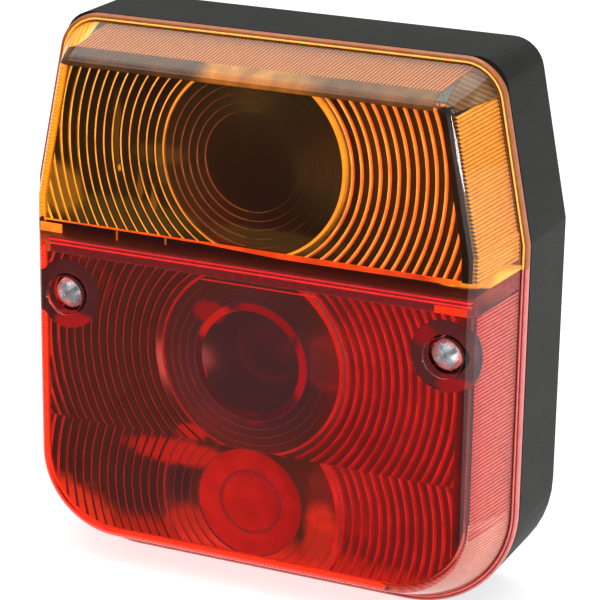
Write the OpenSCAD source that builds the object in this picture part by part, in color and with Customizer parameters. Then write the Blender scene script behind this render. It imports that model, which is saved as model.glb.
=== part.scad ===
// Rear combination lamp: a moulded housing, a two-colour lens with ring optics, three bulbs on contacts.
// The origin is on the mounting face, midway between the two fixing holes. The lamp faces -Y, Z is up.
// Heights named *_h are measured up from the lamp's bottom edge.

/* [Outline] */
// Width across the straight sides
body_w = 98; // [92:0.5:120]
// Height from bottom edge to top edge
body_h = 104; // [100:0.5:124]
// Height at which the sides start to lean inwards
lean_h = 71.7; // [69:0.1:80]
// How far each side has leant in at the top edge
lean_in = 6.4; // [2:0.1:9]
// Radius of the two bottom corners
bottom_r = 21; // [12:0.5:24]
// Radius of the two top corners
top_r = 8; // [4:0.5:12]
// Radius of the housing's two upper corners, which stand out a little past the lens
housing_top_r = 6; // [4:0.5:8]

/* [Housing] */
// Depth from the mounting face to the housing's front edge
housing_d = 18; // [16.5:0.5:24]
// Thickness of the side walls
side_wall = 2.2; // [1.6:0.1:3]
// Thickness of the back wall
back_wall = 2.6; // [2.2:0.1:4]
// Thickness of the wall between the amber and the red chamber
chamber_wall = 2; // [1.2:0.1:2.4]
// Width of the thickened front edge that holds the seal
seat_w = 3.6; // [3:0.1:5]
// Depth of the thickened front edge
seat_d = 4; // [2.5:0.1:6]

/* [Lens seal] */
// Width of the rubber seal
seal_w = 1.3; // [0.8:0.1:1.5]
// Depth of the groove that it lies in
seal_groove_d = 1.2; // [0.6:0.1:2]
// Distance from the lamp's outer edge to the seal
seal_inset = 1; // [0.6:0.1:1.4]
// Gap between housing and lens, which the seal fills
seal_gap = 0.5; // [0.3:0.1:1]

/* [Lens] */
// Depth of the lens from its flange to its front face
lens_d = 12; // [10:0.5:16]
// How far the edge of the front face lies inside the outline
lens_taper = 6; // [4:0.1:7]
// Thickness of the sloping walls
lens_wall = 1.9; // [1.4:0.1:2.4]
// Thickness of the front wall
front_wall = 2.2; // [1.6:0.1:2.8]
// Radius of the edge between front face and sloping walls
front_edge_r = 2; // [0.8:0.1:3]
// Thickness of the flange that bears on the seal
flange_t = 1.2; // [0.8:0.1:2]
// How far the flange stands out from the foot of the sloping walls
flange_step = 0.5; // [0.2:0.1:0.8]
// Height of the amber part at the flange, from the colour seam to the top edge
amber_h = 36.2; // [34:0.1:44]
// How much lower the colour seam is at the front face
seam_drop = 3.8; // [1:0.1:5]
// Thickness of the plain web on the amber side of the seam
amber_web = 2.7; // [1.5:0.1:3.5]
// Thickness of the plain web on the red side of the seam
red_web = 3.2; // [1.5:0.1:4]

/* [Ring optics] */
// Step from one ring to the next
ring_pitch = 1.75; // [1.4:0.05:2.5]
// Height of a ring's step
ring_rise = 0.7; // [0.3:0.05:1]
// Radius of the main circle in front of the indicator and stop bulbs
main_r = 18.5; // [15:0.5:20]
// Radius of the amber circle's plain centre
amber_eye_r = 8.4; // [6:0.1:12]
// Radius of the red circle's plain centre
red_eye_r = 9.6; // [6:0.1:12]
// Thickness that the tail disc adds to the front wall
tail_disc_rise = 0.9; // [0.3:0.1:1.5]
// Radius of the thin groove in the tail disc
tail_groove_r = 6; // [3:0.1:7]
// Width of the thin groove
tail_groove_w = 0.6; // [0.3:0.1:1]
// Radius at which the tail bulb's rings start
tail_ring_r = 18; // [13:0.5:24]
// Height of the line between the stop and the tail rings
zone_h = 28; // [24:0.1:32]

/* [Lens screws] */
// Distance of the lens screws from the lamp's sides
screw_inset = 11.2; // [10:0.1:14]
// Distance of the lens screws below the colour seam at the flange
screw_drop = 15.2; // [12:0.1:20]
// Radius of the well round a screw head
well_r = 3.65; // [3.3:0.05:4.2]
// Depth of the well's floor below the front face
well_d = 3.8; // [3.2:0.1:5]
// Radius of the lens boss round the well
boss_r = 6.4; // [5.4:0.1:6.8]
// Radius of the screw head
head_r = 2.9; // [2.5:0.05:3.2]
// Height of the screw head
head_t = 2.3; // [1.6:0.1:2.8]
// Length of the cross slot
slot_l = 4.4; // [3:0.1:5]
// Width of the cross slot
slot_w = 0.9; // [0.6:0.05:1.2]
// Depth of the cross slot
slot_d = 1.3; // [0.8:0.1:1.5]
// Radius of the screw's shank
shank_r = 1.75; // [1.4:0.05:2]
// Length of the screw under its head
screw_l = 19; // [14:0.5:20]
// Radius of the housing posts that take the screws
post_r = 4.5; // [3.5:0.1:5]
// How far the posts stand out in front of the housing's edge
post_proud = 1.8; // [0.5:0.1:2.5]

/* [Fixing and cable entry] */
// Distance between the two fixing holes
fixing_spacing = 52; // [51:0.5:60]
// Distance of the fixing holes below the colour seam at the flange
fixing_drop = 6.3; // [5:0.1:8]
// Radius of the fixing holes
fixing_r = 2.75; // [2.2:0.05:3.2]
// Radius of the boss round a fixing hole
fixing_boss_r = 4.4; // [3.8:0.1:5]
// Height of that boss above the back wall
fixing_boss_t = 1.4; // [0.6:0.1:3]
// Distance of the cable entry to the left of the centre line
entry_x = 24; // [16:0.5:28]
// Height of the cable entry
entry_h = 34; // [26:0.5:44]
// Radius of the cable's bore in the grommet
cable_r = 3.25; // [2:0.05:4]
// Radius of the grommet's waist
waist_r = 6; // [5:0.1:7]
// Radius of the grommet's flanges
grommet_r = 8.2; // [7.4:0.1:10]
// Thickness of the grommet's flanges
grommet_flange_t = 1.4; // [1:0.1:2]
// Thickness of the wall that the grommet's waist grips
grip_t = 2; // [1.2:0.1:3]

/* [Bulbs] */
// Distance of the bulbs' axis from the mounting face
bulb_y = 15; // [14:0.1:16]
// Radius of the indicator and stop bulbs' glass
big_glass_r = 9.2; // [8.6:0.1:10]
// Radius of the tail bulb's glass
small_glass_r = 8.2; // [8:0.1:9]
// Thickness of the bulb glass
glass_t = 0.7; // [0.5:0.05:1]
// Radius of the bulb caps
cap_r = 7.5; // [7:0.05:7.6]
// Thickness of the caps' metal
cap_t = 0.4; // [0.3:0.05:0.6]
// Length of the caps
cap_l = 13; // [12:0.1:14]
// Distance from the filament to the cap's mouth
cap_x = 10; // [9.5:0.1:11]
// Radius of the two bayonet pins
pin_r = 1; // [0.7:0.05:1.1]
// How far the pins stand out of the cap
pin_proud = 1.1; // [0.8:0.05:1.3]
// Thickness of the black insulator on the cap's end
insulator_t = 1.3; // [0.8:0.1:2]
// Radius of the solder contact
solder_r = 1.6; // [1:0.1:2.2]
// How far the solder contact stands out of the insulator
solder_proud = 0.8; // [0.4:0.1:1.2]
// Length of the filament
filament_l = 5; // [3:0.1:6]
// Radius of the filament and its leads
lead_r = 0.3; // [0.2:0.05:0.4]
// Radius of the glass stem
stem_r = 3.4; // [3:0.1:4]

/* [Holders and contacts] */
// Thickness of the holders' sheet
holder_t = 0.8; // [0.6:0.05:1]
// Length of the holders along the bulb
holder_l = 10; // [9:0.1:11]
// How far a holder's mouth lies behind the cap's mouth
holder_back = 1.5; // [1:0.1:2.2]
// Distance of the holders' rivets from the bulb's axis
holder_rivet_off = 4.5; // [4.2:0.1:5]
// Thickness of the contact and earth strips
strip_t = 0.6; // [0.4:0.05:0.8]
// Width of the earth strip
strip_w = 8; // [6:0.1:9]
// Width of the contacts
contact_w = 5.6; // [4.8:0.1:6]
// How far a contact leaf reaches past the bulb's axis
leaf_past = 4; // [2:0.1:6]
// Length of a contact's foot
contact_foot_l = 8; // [7:0.1:8.6]
// Width of the connector blades
blade_w = 4.8; // [4:0.1:5.6]
// Height of the connector blades
blade_l = 8; // [6:0.1:10]

/* [Rivets] */
// Radius of a rivet's shank
rivet_r = 1.5; // [1:0.05:1.7]
// Radius of a rivet's heads
rivet_head_r = 2.3; // [2:0.05:2.4]
// Height of a rivet's heads
rivet_head_t = 0.8; // [0.5:0.05:1]

/* [Fits] */
// Gap round a screw, a rivet or a rubber part in its hole
hole_fit = 0.1; // [0.05:0.05:0.2]
// Gap round the shank in the lens and round a cap in its holder
loose_fit = 0.2; // [0.1:0.05:0.3]
// Gap between a housing post and the lens boss above it
post_fit = 0.2; // [0.1:0.05:0.4]

/* [Hidden] */
$fn = 48;

black = "#2b2c29";
amber = [0.95, 0.5, 0.05, 0.75];
red = [0.75, 0.05, 0.05, 0.75];
zinc = "#c9ccd0";
brass = "#c8a24a";

bottom_steps = 12;
top_steps = 8;
edge_steps = 4;
past = 1;
far = 200;
least_r = 0.8;

seat_y = -housing_d;
rim_y = seat_y - seal_gap;
front_y = rim_y - lens_d;
inner_y = front_y + front_wall;
lean = lean_in / (body_h - lean_h);
lean_len = sqrt(1 + lean * lean);
wall_slope = (lens_taper - flange_step) / lens_d;
wall_angle = atan(wall_slope);
seam_back_h = body_h - amber_h;
seam_front_h = seam_back_h - seam_drop;
seam_slope = seam_drop / lens_d;
field_low_h = flange_step + (lens_d - front_wall) * wall_slope + lens_wall / cos(wall_angle);
indicator_h = (seam_back_h + body_h - lens_taper) / 2;
stop_h = (zone_h + seam_front_h - red_web / 2) / 2;
tail_h = (field_low_h + zone_h) / 2;
tail_disc_r = (zone_h - field_low_h) / 2;
fixing_h = seam_back_h - fixing_drop;
screw_h = seam_back_h - screw_drop;
screw_x = body_w / 2 - screw_inset;
post_top_y = seat_y - post_proud;
boss_end_y = post_top_y - post_fit;
well_y = front_y + well_d;
recess_t = rivet_head_t + hole_fit;
holder_x = cap_x + holder_back;
strip_x = holder_x + holder_l / 2;
cap_end = cap_x + cap_l;
solder_end = cap_end + insulator_t + solder_proud;
leaf_x = solder_end;
contact_end = leaf_x + contact_foot_l;
contact_rivet_x = (leaf_x + strip_t + contact_end - strip_t) / 2;
sleeve_r = cap_r + loose_fit + holder_t;
pin_x = cap_x + cap_l / 2;
grommet_in = grommet_flange_t + grip_t;
neck_r = cap_r - cap_t - hole_fit;
stem_top = cap_x - 4;
neck_end = cap_x + 4;

// Half the width of the outline at height h, drawn in by d
function half_at(h, d) = min(body_w / 2 - d, body_w / 2 - lean * (h - lean_h) - d * lean_len);

// Height at which the drawn-in outline starts to lean
function kink_h(d) = lean_h - d * (lean_len - 1) / lean;

// Corner of the outline, rounded to radius r in n steps, between its neighbours a and b
function rounded(a, p, b, r, n) =
    let (u = (a - p) / norm(a - p), v = (b - p) / norm(b - p),
        half = acos(u * v) / 2,
        c = p + (u + v) / norm(u + v) * r / sin(half),
        s = p + u * r / tan(half) - c,
        sweep = 180 - 2 * half)
    [for (i = [0:n]) let (t = sweep * i / n)
        c + [s[0] * cos(t) - s[1] * sin(t), s[0] * sin(t) + s[1] * cos(t)]];

// The lamp's outline, drawn in by d on every side, with upper corners of radius r - d, counter-clockwise
function outline_points(d, r) =
    let (base = [half_at(d, d), d], kink = [half_at(kink_h(d), d), kink_h(d)],
        top = [half_at(body_h - d, d), body_h - d],
        base2 = [-base[0], base[1]], kink2 = [-kink[0], kink[1]], top2 = [-top[0], top[1]],
        rb = max(bottom_r - d, least_r), rt = max(r - d, least_r))
    concat(rounded(base2, base, kink, rb, bottom_steps), [kink],
        rounded(kink, top, top2, rt, top_steps),
        rounded(top, top2, kink2, rt, top_steps), [kink2],
        rounded(kink2, base2, base, rb, bottom_steps));

// Inset of the lens wall's outer face at depth y
function wall_inset(y) = flange_step + (rim_y - y) * wall_slope;

// Inset and depth of a point on the rounded front edge, at angle a from the wall towards the front
function edge_point(a) =
    let (cy = front_y + front_edge_r, ci = wall_inset(cy) + front_edge_r / cos(wall_angle))
    [ci - front_edge_r * cos(a), cy - front_edge_r * sin(a)];

// Ring steps from radius r0 to r1; up is 1 where a ring is thick at its outer side, 0 at its inner side
function steps(r0, r1, up) =
    let (n = max(1, round((r1 - r0) / ring_pitch)), p = (r1 - r0) / n)
    [for (i = [0:n - 1]) for (j = [0, 1])
        [r0 + (i + j) * p - (j == 1 ? 0.02 : 0), j == up ? ring_rise : 0.1]];

module from_bottom() translate([0, 0, -fixing_h]) children();

module outline(d) polygon(outline_points(d, top_r));

module housing_outline() polygon(outline_points(0, housing_top_r));

// Draws a flat shape upright and gives it thickness t from depth y towards the front
module plate(y, t) translate([0, y, 0]) rotate([90, 0, 0]) linear_extrude(t) children();

// A rod or bore along Y from depth y0 to y1, with y0 behind y1
module rod_y(x, h, y0, y1, r) translate([x, y0, h]) rotate([90, 0, 0]) cylinder(h = y0 - y1, r = r);

// Space above the seam, starting d above it; the lens keeps the amber part there
module above_seam(d) side_of_seam(d, far);

module below_seam(d) side_of_seam(-d, -far);

module side_of_seam(d, to) {
    y0 = rim_y + 2 * past;
    y1 = front_y - 2 * past;
    shift = d * sqrt(1 + seam_slope * seam_slope);
    z0 = seam_back_h + shift + seam_slope * (y0 - rim_y);
    z1 = seam_back_h + shift + seam_slope * (y1 - rim_y);
    rotate([90, 0, 90]) linear_extrude(far, center = true)
        polygon([[y0, z0], [y1, z1], [y1, to], [y0, to]]);
}

module lens_outer() {
    hull() {
        plate(rim_y, 0.01) outline(flange_step);
        for (i = [0:edge_steps]) {
            e = edge_point(wall_angle + (90 - wall_angle) * i / edge_steps);
            plate(e[1] + 0.01, 0.01) outline(e[0]);
        }
    }
    plate(rim_y, flange_t) outline(0);
}

module lens_inner() {
    inside = lens_wall / cos(wall_angle);
    hull() {
        plate(rim_y + past, 0.01) outline(wall_inset(rim_y + past) + inside);
        plate(inner_y + 0.01, 0.01) outline(wall_inset(inner_y) + inside);
    }
}

// Rings about the axis at height h, standing up from the front wall's inner face, cut to the shape given
module ring_field(h, profile) {
    last = profile[len(profile) - 1][0];
    intersection() {
        translate([0, inner_y, h]) rotate([-90, 0, 0]) rotate_extrude()
            polygon(concat([[0, -front_wall / 2]], profile, [[last, -front_wall / 2]]));
        plate(inner_y + 3, front_wall + 3) children();
    }
}

module band(h0, h1) translate([-body_w / 2, h0]) square([body_w, h1 - h0]);

module amber_lens() color(amber) from_bottom() difference() {
    intersection() {
        lens_outer();
        above_seam(0);
    }
    intersection() {
        difference() {
            lens_inner();
            ring_field(indicator_h, concat([[0, 0.1], [amber_eye_r, 0.1]],
                steps(amber_eye_r, main_r, 0), steps(main_r, body_w / 2, 1))) band(seam_front_h, body_h);
        }
        above_seam(amber_web);
    }
}

module red_lens() color(red) from_bottom() difference() {
    groove_y = inner_y + tail_disc_rise;
    intersection() {
        lens_outer();
        below_seam(0);
    }
    intersection() {
        difference() {
            lens_inner();
            ring_field(stop_h, concat([[0, 0.1], [red_eye_r, 0.1]],
                steps(red_eye_r, main_r, 0), steps(main_r, body_w / 2, 1))) band(zone_h, seam_front_h);
            ring_field(tail_h, steps(tail_ring_r, body_w / 2, 1)) difference() {
                band(0, zone_h);
                translate([0, tail_h]) circle(tail_ring_r);
            }
            rod_y(0, tail_h, groove_y, inner_y - front_wall / 2, tail_disc_r);
            for (side = [-1, 1])
                rod_y(side * screw_x, screw_h, boss_end_y, inner_y - front_wall / 2, boss_r);
        }
        below_seam(red_web);
    }
    difference() {
        rod_y(0, tail_h, groove_y + past, inner_y, tail_groove_r + tail_groove_w / 2);
        rod_y(0, tail_h, groove_y + 2 * past, inner_y - past, tail_groove_r - tail_groove_w / 2);
    }
    for (side = [-1, 1]) {
        rod_y(side * screw_x, screw_h, well_y, front_y - past, well_r);
        rod_y(side * screw_x, screw_h, boss_end_y + past, front_y, shank_r + loose_fit);
    }
}

module housing() color(black) from_bottom() difference() {
    union() {
        plate(0, back_wall) housing_outline();
        plate(0, housing_d) difference() {
            housing_outline();
            outline(side_wall);
        }
        plate(seat_y + seat_d, seat_d) difference() {
            housing_outline();
            outline(seat_w);
        }
        plate(0, housing_d) intersection() {
            outline(side_wall / 2);
            band(seam_back_h - chamber_wall / 2, seam_back_h + chamber_wall / 2);
        }
        for (side = [-1, 1]) {
            rod_y(side * screw_x, screw_h, 0, post_top_y, post_r);
            rod_y(side * fixing_spacing / 2, fixing_h, 0, -back_wall - fixing_boss_t, fixing_boss_r);
        }
        rod_y(-entry_x, entry_h, 0, -grommet_in, grommet_r + side_wall);
    }
    plate(seat_y + seal_groove_d, seal_groove_d + past) seal_shape(hole_fit);
    for (side = [-1, 1]) {
        rod_y(side * screw_x, screw_h, -back_wall, post_top_y - past, shank_r + hole_fit / 2);
        rod_y(side * fixing_spacing / 2, fixing_h, past, -housing_d, fixing_r);
    }
    rod_y(-entry_x, entry_h, past, -grommet_flange_t - hole_fit, grommet_r + hole_fit);
    rod_y(-entry_x, entry_h, past, -housing_d, waist_r + hole_fit);
    for (h = [indicator_h, stop_h, tail_h]) {
        for (side = [-1, 1]) rivet_hole(strip_x, h + side * holder_rivet_off);
        rivet_hole(contact_rivet_x, h);
    }
    notch_y = -back_wall - strip_t - loose_fit;
    translate([strip_x - strip_w / 2 - loose_fit, notch_y, seam_back_h - chamber_wall])
        cube([strip_w + 2 * loose_fit, strip_t + loose_fit, 2 * chamber_wall]);
}

module rivet_hole(x, h) {
    rod_y(x, h, past, -recess_t, rivet_head_r + hole_fit);
    rod_y(x, h, past, -back_wall - past, rivet_r + hole_fit);
}

module seal_shape(grow) difference() {
    outline(seal_inset - grow);
    outline(seal_inset + seal_w + grow);
}

module lens_seal() color("#1c1c1c") from_bottom()
    plate(seat_y + seal_groove_d, seal_groove_d + seal_gap) seal_shape(0);

// A pan-head screw with its head's underside on the floor of the well
module lens_screw(x) color(zinc) from_bottom() translate([x, well_y, screw_h]) rotate([90, 0, 0])
    difference() {
        union() {
            rotate_extrude() intersection() {
                translate([0, head_t - head_r * 1.6]) circle(head_r * 1.6);
                square([head_r, head_t]);
            }
            translate([0, 0, shank_r - screw_l]) cylinder(h = screw_l - shank_r, r = shank_r);
            translate([0, 0, -screw_l]) cylinder(h = shank_r, r1 = shank_r / 4, r2 = shank_r);
        }
        for (turn = [0, 90]) rotate(turn + 35) translate([-slot_l / 2, -slot_w / 2, head_t - slot_d])
            cube([slot_l, slot_w, slot_d + past]);
    }

module lens_screw_left() lens_screw(-screw_x);

module lens_screw_right() lens_screw(screw_x);

module cable_grommet() color("#202020") from_bottom() translate([-entry_x, 0, entry_h]) rotate([90, 0, 0])
    rotate_extrude() polygon([[cable_r, 0], [grommet_r, 0], [grommet_r, grommet_flange_t],
        [waist_r, grommet_flange_t], [waist_r, grommet_in + hole_fit], [grommet_r, grommet_in + hole_fit],
        [grommet_r - 1, grommet_in + grommet_flange_t], [cable_r, grommet_in + grommet_flange_t]]);

// A flat strip behind the three holders, with a blade folded forward above the indicator's
module earth_strip() color(brass) from_bottom() difference() {
    low = tail_h - sleeve_r;
    blade_h = indicator_h + sleeve_r + past;
    union() {
        translate([strip_x - strip_w / 2, -back_wall - strip_t, low])
            cube([strip_w, strip_t, blade_h + blade_w - low]);
        translate([strip_x - strip_w / 2, -back_wall - blade_l, blade_h]) cube([strip_t, blade_l, blade_w]);
    }
    for (h = [indicator_h, stop_h, tail_h]) for (side = [-1, 1])
        rod_y(strip_x, h + side * holder_rivet_off, 0, -housing_d, rivet_r + hole_fit);
    rod_y(fixing_spacing / 2, fixing_h, 0, -housing_d, fixing_boss_r + loose_fit);
}

// A clip folded from sheet: a sleeve round the bulb's cap on two legs, with a base riveted to the back wall
module holder(h) color(zinc) from_bottom() {
    base_y = -back_wall - strip_t - holder_t;
    leg_in = sleeve_r - holder_t;
    difference() {
        union() {
            translate([holder_x, -bulb_y, h]) rotate([0, 90, 0]) cylinder(h = holder_l, r = sleeve_r);
            translate([holder_x, -bulb_y, h - sleeve_r])
                cube([holder_l, bulb_y + base_y + holder_t, 2 * sleeve_r]);
        }
        translate([holder_x - past, -bulb_y, h]) rotate([0, 90, 0])
            cylinder(h = holder_l + 2 * past, r = leg_in);
        translate([holder_x - past, -bulb_y, h - leg_in])
            cube([holder_l + 2 * past, bulb_y + base_y, 2 * leg_in]);
        for (side = [-1, 1]) rod_y(strip_x, h + side * holder_rivet_off, 0, -bulb_y, rivet_r + hole_fit);
        translate([holder_x - past, -bulb_y - sleeve_r - past, h - 3 * pin_r - loose_fit])
            cube([pin_x - holder_x + past + pin_r + loose_fit, sleeve_r, 2 * (pin_r + loose_fit)]);
        translate([pin_x - pin_r - loose_fit, -bulb_y - sleeve_r - past, h - 3 * pin_r - loose_fit])
            cube([2 * (pin_r + loose_fit), sleeve_r, 4 * pin_r + 2 * loose_fit]);
    }
}

module indicator_holder() holder(indicator_h);

module stop_holder() holder(stop_h);

module tail_holder() holder(tail_h);

// A folded strip: a leaf against the bulb's foot, a riveted foot and a connector blade
module contact(h) color(brass) from_bottom() difference() {
    union() {
        translate([leaf_x, -bulb_y - leaf_past, h - contact_w / 2])
            cube([strip_t, bulb_y + leaf_past - back_wall, contact_w]);
        translate([leaf_x, -back_wall - strip_t, h - contact_w / 2])
            cube([contact_foot_l, strip_t, contact_w]);
        translate([contact_end - strip_t, -back_wall - blade_l, h - blade_w / 2])
            cube([strip_t, blade_l, blade_w]);
    }
    rod_y(contact_rivet_x, h, 0, -back_wall - strip_t - past, rivet_r + hole_fit);
}

module indicator_contact() contact(indicator_h);

module stop_contact() contact(stop_h);

module tail_contact() contact(tail_h);

// Places a bulb's piece, drawn about Z with its filament at the origin, along X
module along_bulb(h) from_bottom() translate([0, -bulb_y, h]) rotate([0, 90, 0]) children();

module half_plane() translate([0, -far / 2]) square([far / 2, far]);

// Glass envelope with the stem that carries the filament's leads
module bulb_glass(h, r) color([0.9, 0.95, 1, 0.4]) along_bulb(h) {
    rotate_extrude() intersection() {
        difference() {
            union() {
                circle(r);
                translate([-neck_r, 0]) square([2 * neck_r, neck_end]);
            }
            circle(r - glass_t);
            translate([-neck_r + glass_t, 0]) square([2 * (neck_r - glass_t), neck_end - glass_t]);
        }
        half_plane();
    }
    translate([0, 0, stem_top]) cylinder(h = neck_end - glass_t / 2 - stem_top, r = stem_r);
}

module indicator_bulb_glass() bulb_glass(indicator_h, big_glass_r);

module stop_bulb_glass() bulb_glass(stop_h, big_glass_r);

module tail_bulb_glass() bulb_glass(tail_h, small_glass_r);

module bulb_filament(h) color("#8d8f92") along_bulb(h) {
    for (side = [-1, 1])
        translate([0, side * filament_l / 2, -lead_r]) cylinder(h = stem_top + lead_r, r = lead_r);
    translate([0, -filament_l / 2, 0]) rotate([-90, 0, 0]) cylinder(h = filament_l, r = lead_r);
}

module indicator_bulb_filament() bulb_filament(indicator_h);

module stop_bulb_filament() bulb_filament(stop_h);

module tail_bulb_filament() bulb_filament(tail_h);

// Bayonet cap: a drawn shell with a hole in its end and two pins
module bulb_cap(h) color(brass) along_bulb(h) difference() {
    union() {
        translate([0, 0, cap_x]) cylinder(h = cap_l, r = cap_r);
        translate([0, -cap_r - pin_proud, pin_x]) rotate([-90, 0, 0])
            cylinder(h = 2 * (cap_r + pin_proud), r = pin_r);
    }
    translate([0, 0, cap_x - past]) cylinder(h = cap_l + past - cap_t, r = cap_r - cap_t);
    translate([0, 0, cap_x]) cylinder(h = 2 * cap_l, r = solder_r + loose_fit);
}

module indicator_bulb_cap() bulb_cap(indicator_h);

module stop_bulb_cap() bulb_cap(stop_h);

module tail_bulb_cap() bulb_cap(tail_h);

module bulb_insulator(h) color("#151515") along_bulb(h) translate([0, 0, cap_end]) difference() {
    cylinder(h = insulator_t, r1 = cap_r - insulator_t, r2 = solder_r + insulator_t);
    translate([0, 0, -past]) cylinder(h = insulator_t + 2 * past, r = solder_r);
}

module indicator_bulb_insulator() bulb_insulator(indicator_h);

module stop_bulb_insulator() bulb_insulator(stop_h);

module tail_bulb_insulator() bulb_insulator(tail_h);

module bulb_solder(h) color(zinc) along_bulb(h) {
    translate([0, 0, cap_end]) cylinder(h = insulator_t + solder_proud, r = solder_r);
}

module indicator_bulb_solder() bulb_solder(indicator_h);

module stop_bulb_solder() bulb_solder(stop_h);

module tail_bulb_solder() bulb_solder(tail_h);

// A rivet with one head in the back wall's recess and one on the pile of sheets at depth y
module rivet(x, h, y) color(zinc) from_bottom() {
    rod_y(x, h, -hole_fit, -recess_t, rivet_head_r);
    rod_y(x, h, -hole_fit, y - rivet_head_t, rivet_r);
    rod_y(x, h, y, y - rivet_head_t, rivet_head_r);
}

module holder_rivet(h) rivet(strip_x, h, -back_wall - strip_t - holder_t);

module contact_rivet(h) rivet(contact_rivet_x, h, -back_wall - strip_t);

module indicator_holder_rivet_low() holder_rivet(indicator_h - holder_rivet_off);

module indicator_holder_rivet_high() holder_rivet(indicator_h + holder_rivet_off);

module stop_holder_rivet_low() holder_rivet(stop_h - holder_rivet_off);

module stop_holder_rivet_high() holder_rivet(stop_h + holder_rivet_off);

module tail_holder_rivet_low() holder_rivet(tail_h - holder_rivet_off);

module tail_holder_rivet_high() holder_rivet(tail_h + holder_rivet_off);

module indicator_contact_rivet() contact_rivet(indicator_h);

module stop_contact_rivet() contact_rivet(stop_h);

module tail_contact_rivet() contact_rivet(tail_h);

housing();
lens_seal();
amber_lens();
red_lens();
lens_screw_left();
lens_screw_right();
cable_grommet();
earth_strip();
indicator_holder();
stop_holder();
tail_holder();
indicator_contact();
stop_contact();
tail_contact();
indicator_bulb_glass();
stop_bulb_glass();
tail_bulb_glass();
indicator_bulb_filament();
stop_bulb_filament();
tail_bulb_filament();
indicator_bulb_cap();
stop_bulb_cap();
tail_bulb_cap();
indicator_bulb_insulator();
stop_bulb_insulator();
tail_bulb_insulator();
indicator_bulb_solder();
stop_bulb_solder();
tail_bulb_solder();
indicator_holder_rivet_low();
indicator_holder_rivet_high();
stop_holder_rivet_low();
stop_holder_rivet_high();
tail_holder_rivet_low();
tail_holder_rivet_high();
indicator_contact_rivet();
stop_contact_rivet();
tail_contact_rivet();
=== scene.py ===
import bpy
import bmesh
from math import atan, cos, pi, radians, sin, sqrt, tan
from mathutils import Matrix, Vector


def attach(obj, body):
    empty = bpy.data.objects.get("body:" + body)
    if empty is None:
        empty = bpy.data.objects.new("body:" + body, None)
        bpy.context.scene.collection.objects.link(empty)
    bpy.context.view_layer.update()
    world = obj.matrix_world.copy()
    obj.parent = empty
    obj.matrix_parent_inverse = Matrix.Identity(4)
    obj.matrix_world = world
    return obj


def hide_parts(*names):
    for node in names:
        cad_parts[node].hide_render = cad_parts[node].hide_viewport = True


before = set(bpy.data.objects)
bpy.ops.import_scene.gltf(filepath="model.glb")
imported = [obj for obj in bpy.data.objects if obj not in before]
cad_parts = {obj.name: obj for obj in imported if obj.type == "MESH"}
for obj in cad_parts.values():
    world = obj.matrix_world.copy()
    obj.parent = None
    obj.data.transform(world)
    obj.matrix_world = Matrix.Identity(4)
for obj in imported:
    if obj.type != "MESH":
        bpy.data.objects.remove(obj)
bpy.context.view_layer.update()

# Camera: it stands to the right of the lamp and a little above it, with a long lens, as for a catalogue
# picture. The lamp stands upright on its bottom edge.
look_at = Vector((0.004936, -0.0185, -0.00676))
turn, rise, tilt = radians(24.465), radians(18.671), radians(0.839)
away = Vector((sin(turn) * cos(rise), -cos(turn) * cos(rise), sin(rise)))
level = Vector((0, 0, 1)).cross(away).normalized()
upright = away.cross(level)
across = level * cos(tilt) + upright * sin(tilt)
up = upright * cos(tilt) - level * sin(tilt)
bpy.ops.object.camera_add()
camera = bpy.context.object
camera.name = "camera"
camera.data.lens = 155.65
camera.data.sensor_width = 36
camera.data.clip_start = 0.01
camera.data.clip_end = 20
stand = Matrix((across, up, away)).transposed().to_4x4()
camera.matrix_world = Matrix.Translation(look_at + away * 0.47495) @ stand
bpy.context.scene.camera = camera
bpy.context.scene.view_settings.view_transform = "Standard"


# Floor and light: a light table under the lamp, a large soft box overhead, another above the camera, a strip
# at the right and a small box for the lens's right edge. A black flag lies where the front face would mirror
# the table.
def plain_node(tree, kind, **values):
    """Adds a shader node and sets its plain properties or sockets by name"""
    node = tree.nodes.new(kind)
    for name, value in values.items():
        name = name.replace("_", " ")
        if name in node.inputs:
            node.inputs[name].default_value = value
        else:
            setattr(node, name.replace(" ", "_"), value)
    return node


def deselect():
    bpy.ops.object.select_all(action="DESELECT")


deselect()
bpy.ops.mesh.primitive_plane_add(size=4, location=(0, 0.6, -0.0615))
floor = bpy.context.object
floor.name = "paper_floor"
bpy.ops.object.transform_apply(location=True, rotation=True, scale=True)
paper = bpy.data.materials.new("pale_paper")
paper.use_nodes = True
tree = paper.node_tree
shader = tree.nodes["Principled BSDF"]
shader.inputs["Roughness"].default_value = 0.7
shader.inputs["Specular IOR Level"].default_value = 0.2
place = plain_node(tree, "ShaderNodeTexCoord")
fibre = plain_node(tree, "ShaderNodeTexNoise", Scale=900, Detail=3)
shade = plain_node(tree, "ShaderNodeValToRGB")
shade.color_ramp.elements[0].color = (0.86, 0.86, 0.86, 1)
shade.color_ramp.elements[1].color = (0.92, 0.92, 0.92, 1)
tree.links.new(place.outputs["Object"], fibre.inputs["Vector"])
tree.links.new(fibre.outputs["Fac"], shade.inputs["Fac"])
shader.inputs["Base Color"].default_value = (0.4, 0.4, 0.4, 1)
tree.links.new(shade.outputs["Color"], shader.inputs["Emission Color"])
shader.inputs["Emission Strength"].default_value = 0.8
floor.data.materials.append(paper)

deselect()
bpy.ops.mesh.primitive_plane_add(size=1, location=(-0.525, -0.617, -0.0605))
flag = bpy.context.object
flag.name = "black_flag"
bpy.ops.transform.resize(value=(1.15, 1.166, 1))
bpy.ops.object.transform_apply(location=True, rotation=True, scale=True)
cloth = bpy.data.materials.new("black_flag_cloth")
cloth.use_nodes = True
cloth.node_tree.nodes["Principled BSDF"].inputs["Base Color"].default_value = (0.03, 0.03, 0.03, 1)
cloth.node_tree.nodes["Principled BSDF"].inputs["Roughness"].default_value = 0.9
flag.data.materials.append(cloth)
flag.visible_camera = False
flag.visible_diffuse = False
flag.visible_shadow = False

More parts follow.
